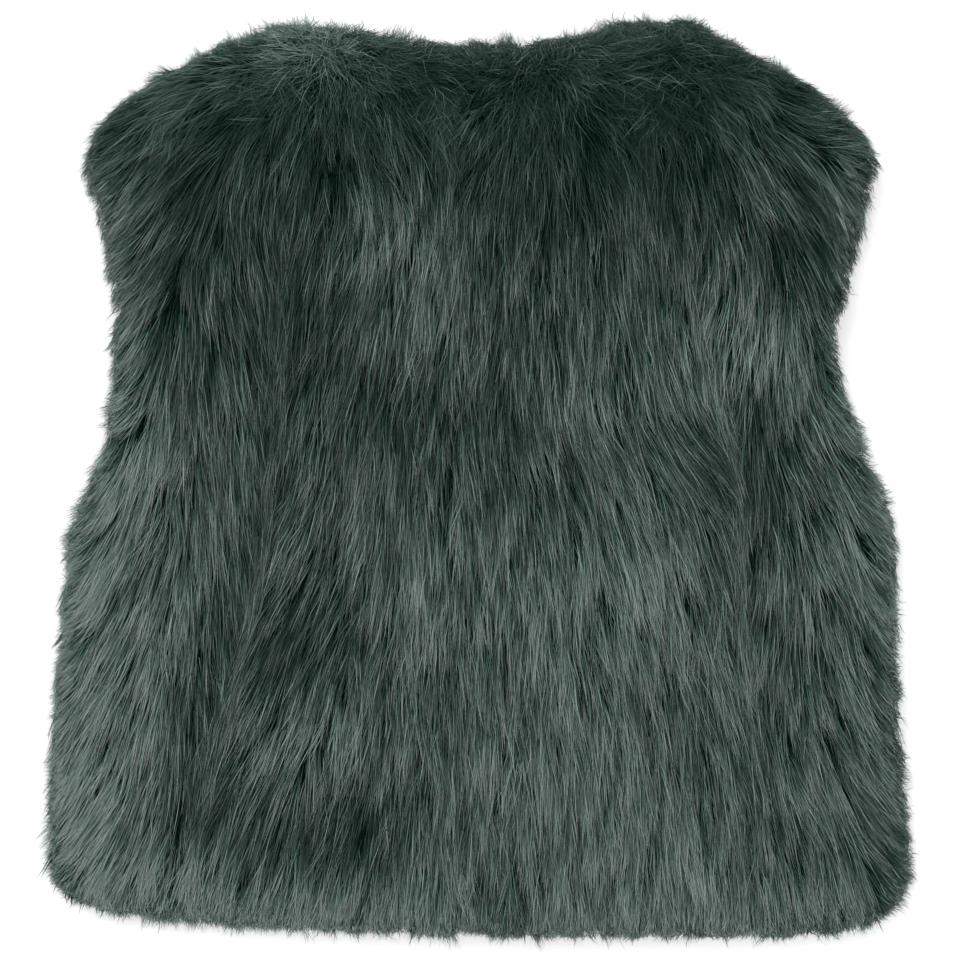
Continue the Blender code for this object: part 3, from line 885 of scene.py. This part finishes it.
def ribbon_corners(points, widths, random, outward):
    """Corners of the ribbons: two at each point, and one at the tip."""
    count, marks = points.shape[:2]
    tangent = np.gradient(points, axis=1)
    tangent /= np.linalg.norm(tangent, axis=2, keepdims=True) + LEAST_LENGTH
    side = np.cross(tangent, outward)
    side /= np.linalg.norm(side, axis=2, keepdims=True) + LEAST_LENGTH
    up = np.cross(side, tangent)
    roll = random.uniform(-ROLL, ROLL, count)[:, None, None]
    across = side * np.cos(roll) + up * np.sin(roll)
    half = across * (widths / 2)[:, :, None]
    corners = np.empty((count, 2 * marks - 1, 3))
    corners[:, :-1:2] = (points - half)[:, :-1]
    corners[:, 1:-1:2] = (points + half)[:, :-1]
    corners[:, -1] = points[:, -1]
    corners[..., 2] = np.maximum(corners[..., 2], FLOOR_CLEAR / 2)
    return corners


def ribbon_map(tone, part):
    """Each corner's place on the map."""
    left = MAP_EDGE + np.clip(tone, 0, 1) * MAP_SPAN
    places = np.empty((len(tone), 2 * len(part) - 1, 2))
    places[:, :-1:2, 0] = left[:, None]
    places[:, 1:-1:2, 0] = left[:, None] + MAP_WIDTH
    places[:, -1, 0] = left + MAP_WIDTH / 2
    height = MAP_EDGE + (1.0 - 2 * MAP_EDGE) * part
    places[..., 1] = np.repeat(height, 2)[:-1]
    return places.reshape(-1, 2)


def ribbons(name, points, widths, tone, part, random, outward):
    """One mesh of ribbons, whose map holds tone across and length upwards."""
    count, marks = points.shape[:2]
    corners = ribbon_corners(points, widths, random, outward)
    per_hair = 2 * marks - 1
    quads = [2 * step + corner for step in range(marks - 2) for corner in (0, 1, 3, 2)]
    tip = [per_hair - 3, per_hair - 2, per_hair - 1]
    loops = np.array(quads + tip)[None] + (np.arange(count) * per_hair)[:, None]
    totals = np.tile([4] * (marks - 2) + [3], count)
    starts = np.concatenate([[0], np.cumsum(totals)[:-1]])
    mesh = bpy.data.meshes.new(name)
    mesh.vertices.add(count * per_hair)
    mesh.vertices.foreach_set("co", corners.astype(np.float32).ravel())
    mesh.loops.add(loops.size)
    mesh.loops.foreach_set("vertex_index", loops.astype(np.int32).ravel())
    mesh.polygons.add(len(totals))
    mesh.polygons.foreach_set("loop_start", starts.astype(np.int32))
    mesh.polygons.foreach_set("loop_total", totals.astype(np.int32))
    layer = mesh.uv_layers.new(name="OFBake")
    places = ribbon_map(tone, part)[loops.ravel()]
    layer.data.foreach_set("uv", places.astype(np.float32).ravel())
    mesh.update(calc_edges=True)
    mesh.validate()
    mesh.shade_smooth()
    return add_object(name, mesh)


def finish_piece(piece, node, material):
    """Rides a piece on the one body in place of its panel, with its material."""
    piece.data.materials.clear()
    piece.data.materials.append(material)
    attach(piece, "root")
    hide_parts(node)
    return piece


def new_material(name):
    """A material, with its node tree and its Principled shader."""
    material = bpy.data.materials.new(name)
    material.use_nodes = True
    tree = material.node_tree
    return material, tree, tree.nodes["Principled BSDF"]


def fill_inputs(tree, node, inputs):
    """Links each named input to its socket, or else gives it its value."""
    for name, value in inputs.items():
        if isinstance(value, bpy.types.NodeSocket):
            tree.links.new(value, node.inputs[name])
        else:
            node.inputs[name].default_value = value


def add_node(tree, kind, inputs, **settings):
    """A node with its settings and its inputs."""
    node = tree.nodes.new(kind)
    for name, value in settings.items():
        setattr(node, name, value)
    fill_inputs(tree, node, inputs)
    return node


def ramp(tree, factor, stops):
    """A colour ramp: stops are (place, colour)."""
    node = add_node(tree, "ShaderNodeValToRGB", {"Fac": factor})
    band = node.color_ramp
    while len(band.elements) < len(stops):
        band.elements.new(0.5)
    for element, (place, colour) in zip(band.elements, stops):
        element.position = place
        element.color = (*colour, 1.0)
    return node.outputs["Color"]


def mix(tree, kind, factor, first, second):
    """Two colours mixed: inputs 6 and 7 of that node, and its output 2."""
    inputs = {"Factor": factor, 6: first, 7: second}
    return add_node(tree, "ShaderNodeMix", inputs, data_type="RGBA", blend_type=kind).outputs[2]


def noise(tree, place, scale, detail):
    """Noise of a scale and detail at a place."""
    inputs = {"Vector": place, "Scale": scale, "Detail": detail}
    return add_node(tree, "ShaderNodeTexNoise", inputs).outputs["Fac"]


def bump(tree, height, distance):
    """The normal of a surface that a height lifts by a distance in metres."""
    return add_node(tree, "ShaderNodeBump", {"Height": height, "Distance": distance}).outputs["Normal"]


def hair_material():
    """Hair with dark green roots, darker still as painted shade down in the pile, and grey tips. Its
    lightness and tint go by the map.
    """
    material, tree, shader = new_material("hair")
    place = add_node(tree, "ShaderNodeUVMap", {}, uv_map="OFBake")
    split = add_node(tree, "ShaderNodeSeparateXYZ", {"Vector": place.outputs["UV"]})
    tone, along = split.outputs["X"], split.outputs["Y"]
    colour = mix(tree, "MIX", tone, ramp(tree, along, DARK_HAIR), ramp(tree, along, LIGHT_HAIR))
    spread = add_node(tree, "ShaderNodeMath", {0: tone, 1: TINTS}, operation="MULTIPLY")
    swing = add_node(tree, "ShaderNodeMath", {0: spread.outputs[0], 1: 0.5}, operation="PINGPONG")
    tint = ramp(tree, swing.outputs[0], TEAL_TO_MAUVE)
    fill_inputs(tree, shader, {
        "Base Color": mix(tree, "MULTIPLY", 1.0, colour, tint),
        "Roughness": 0.55,
        "Specular IOR Level": 0.05,
        "Specular Tint": (0.35, 0.62, 0.55, 1.0),
        "Sheen Weight": 0.03,
        "Sheen Roughness": 0.45,
        "Sheen Tint": (0.62, 0.74, 0.7, 1.0),
    })
    return material


def underfur_material():
    """The dense short pile under the hair: nearly black green, mottled."""
    material, tree, shader = new_material("underfur")
    place = add_node(tree, "ShaderNodeTexCoord", {}).outputs["Object"]
    mottle = noise(tree, place, 260.0, 4.0)
    fill_inputs(tree, shader, {
        "Base Color": ramp(tree, mottle, MOTTLED),
        "Normal": bump(tree, mottle, 0.002),
        "Roughness": 1.0,
        "Specular IOR Level": 0.02,
    })
    return material


def knit_material():
    """The wrong side of the cloth: a fine dark knit."""
    material, tree, shader = new_material("knit_backing")
    place = add_node(tree, "ShaderNodeTexCoord", {}).outputs["Object"]
    bands = []
    for direction, scale in (("X", 260.0), ("Y", 190.0)):
        inputs = {"Vector": place, "Scale": scale, "Distortion": 1.5}
        band = add_node(tree, "ShaderNodeTexWave", inputs, bands_direction=direction)
        bands.append(band.outputs["Color"])
    loops = mix(tree, "MULTIPLY", 1.0, *bands)
    worn = ramp(tree, noise(tree, place, 35.0, 2.0), WORN_KNIT)
    fill_inputs(tree, shader, {
        "Base Color": mix(tree, "MULTIPLY", 1.0, worn, ramp(tree, loops, KNIT_GRAIN)),
        "Normal": bump(tree, loops, 0.0004),
        "Roughness": 0.85,
        "Sheen Weight": 0.15,
    })
    return material


def shrunk_copy(name, node, form, inset, keep, thickness):
    """A panel's solid, moved in from the edge, with a share of its height or a thickness at most."""
    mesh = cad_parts[node].data.copy()
    mesh.name = name
    co = np.empty(len(mesh.vertices) * 3, np.float32)
    mesh.vertices.foreach_get("co", co)
    x, y, z = co.reshape(-1, 3).astype(float).T
    distance = np.maximum(form.distance_at(x, y), 0.0)
    share = np.clip(1.0 - distance / ROUND_REACH, 0.0, 1.0)
    inward_x, inward_y = unit(*form.inward_at(x, y), LEAST_WAY)
    x = x + inward_x * inset * share
    y = y + inward_y * inset * share
    off = (z - form.inner_z) * keep
    if thickness is not None:
        off = np.clip(off, -thickness, thickness)
    z = form.inner_z + off
    mesh.vertices.foreach_set("co", np.stack([x, y, z], axis=1).astype(np.float32).ravel())
    mesh.update()
    return add_object(name, mesh)


def panel_area(form, number):
    """Area of a panel as it lies, in square metres."""
    return (form.owner == number).sum() * CELL * CELL


def edge_share(form, number):
    """Share of the whole edge that a panel has."""
    rim = (form.distance > 0) & (form.distance < 2 * CELL)
    return ((form.owner == number) & rim).sum() / rim.sum()


def outward_at(form, points):
    """The way out of the pile at each point: up, and sideways near the edge."""
    x, y = points[..., 0], points[..., 1]
    near = 1.0 - smooth(0.0, EDGE_ROUND, form.distance_at(x, y))
    out = -np.stack(form.inward_at(x, y), axis=-1)
    return np.concatenate([out * (EDGE_FACING * near)[..., None], np.ones_like(near)[..., None]], axis=-1)


def grow(form, name, hairs, weight, fur, random, outward):
    """One piece of fur, rooted by weight, facing out of the pile or the way given."""
    x, y = draw_roots(form, int(hairs / HAIRS_PER_CLUMP), weight, random)
    clumps = clump_guides(form, x, y, random, fur)
    points, widths, tones, marks = hairs_on(form, clumps, random, fur)
    if outward is None:
        outward = outward_at(form, points)
    else:
        outward = np.broadcast_to(outward, points.shape)
    return ribbons(name, points, widths, tones, marks, random, outward)


def rim_weight(form, number):
    """Where a panel's rim hair roots."""
    return (form.owner == number) * (form.distance > RIM_ROOTS[0]) * (form.distance < RIM_ROOTS[1])


def dress(form, node, coats, keep, random, materials):
    """Gives a panel its coats of hair, its underfur and its cloth."""
    hair, underfur, knit = materials
    for name, hairs, weight, fur, outward in coats:
        piece = grow(form, f"{node}_{name}", hairs, weight, fur, random, outward)
        finish_piece(piece, node, hair)
    body = shrunk_copy(node + "_underfur", node, form, UNDERFUR_INSET, keep, None)
    finish_piece(body, node, underfur)
    cloth = shrunk_copy(node + "_cloth", node, form, CLOTH_INSET, 1.0, CLOTH_THICKNESS)
    finish_piece(cloth, node, knit)


def make_back(form, materials):
    """The back's three panels, with their long hair in pieces."""
    flow = turned_out(form, nap, rising(*EVEN_OUTWARD, *SHOULDERS), EDGE_TURN)
    back = Fur(*BACK_HAIR, flow, mess_over_back, tone_and_painted_light_at, rise_over_back)
    flow = turned_out(form, nap, rising(*RIM_OUTWARD, *SHOULDERS), RIM_TURN)
    rim = Fur(*BACK_RIM, flow, rising(*RIM_MESS, *MESS_RISE), tone_and_painted_light_at, hang_over_back)
    x = form.x0 + np.arange(form.columns)[None] * CELL
    y = form.y0 + np.arange(form.rows)[:, None] * CELL
    near_edge = np.exp(-np.maximum(form.distance - EDGE_BAND[0], 0) / EDGE_BAND[1])
    denser = 1.0 + EDGE_DENSER * near_edge + MESS_DENSER * mess_over_back(x, y)
    rim_denser = 1.0 + TOP_RIM_DENSER * smooth(*TOP_RIM, y)
    for number, node in enumerate(BACK_PANELS):
        hairs = panel_area(form, number) * BACK_HAIR_DENSITY
        pieces = max(1, math.ceil(hairs / PIECE_HAIRS))
        weight = (form.owner == number) * (form.distance > BACK_ROOTS) * denser
        coats = [(f"hair_{part + 1}", hairs / pieces, weight, back, None) for part in range(pieces)]
        weight = rim_weight(form, number) * rim_denser
        coats.append(("edge", RIM_HAIRS * edge_share(form, number), weight, rim, None))
        random = np.random.default_rng(BACK_SEED + number)
        dress(form, node, coats, BACK_UNDERFUR, random, materials)


def make_fronts(form, materials):
    """The two fronts, with hair along their edges and pressed hair beneath."""
    even_mess = rising(*EVEN_MESS, *MESS_RISE)
    pressed = Fur(*PRESSED_HAIR, front_nap, even_mess, front_tone, press_under_front)
    flow = turned_out(form, front_nap, rising(*EVEN_OUTWARD, *SHOULDERS), RIM_TURN)
    rim = Fur(*FRONT_RIM, flow, even_mess, tone_and_painted_light_at, hang_over_front)
    for number, node in enumerate(FRONT_PANELS):
        hairs = panel_area(form, number) * UNDERSIDE_DENSITY
        weight = (form.owner == number) * (form.distance > FRONT_ROOTS)
        rim_hairs = FRONT_RIM_HAIRS * edge_share(form, number)
        coats = [
            ("hair", hairs, weight, pressed, (0.0, 0.0, -1.0)),
            ("edge", rim_hairs, rim_weight(form, number), rim, None),
        ]
        random = np.random.default_rng(FRONT_SEED + number)
        dress(form, node, coats, FRONT_UNDERFUR, random, materials)


def make_floor():
    """A plain pale floor."""
    bpy.ops.mesh.primitive_plane_add(size=FLOOR_SIZE)
    floor = bpy.context.object
    floor.name = "floor"
    material, tree, shader = new_material("floor")
    fill_inputs(tree, shader, {
        "Base Color": (0.93, 0.93, 0.93, 1.0),
        "Roughness": 0.9,
        "Emission Color": WHITE,
        "Emission Strength": 0.25,
    })
    floor.data.materials.append(material)


def make_lights():
    """Soft studio light from above and all round."""
    world = bpy.data.worlds.new("studio")
    world.use_nodes = True
    tree = world.node_tree
    fill_inputs(tree, tree.nodes["Background"], {"Color": WHITE, "Strength": 0.75})
    bpy.context.scene.world = world
    bpy.context.scene.view_settings.view_transform = "Standard"
    for row in LIGHTS:
        data = bpy.data.lights.new(row.name, "AREA")
        data.shape = "SQUARE"
        data.size = row.size
        data.energy = row.power
        light = add_object(row.name, data)
        light.location = row.place
        light.rotation_mode = "QUATERNION"
        light.rotation_quaternion = (-Vector(row.place)).to_track_quat("-Z", "Y")


make_camera()
make_floor()
make_lights()
back_form = Form(BACK_PANELS, from_above=True)
seam_rows, seam_places = find_seams(back_form)
edge_columns, edge_tops = find_top(back_form)
materials = (hair_material(), underfur_material(), knit_material())
make_back(back_form, materials)
make_fronts(Form(FRONT_PANELS, from_above=False), materials)
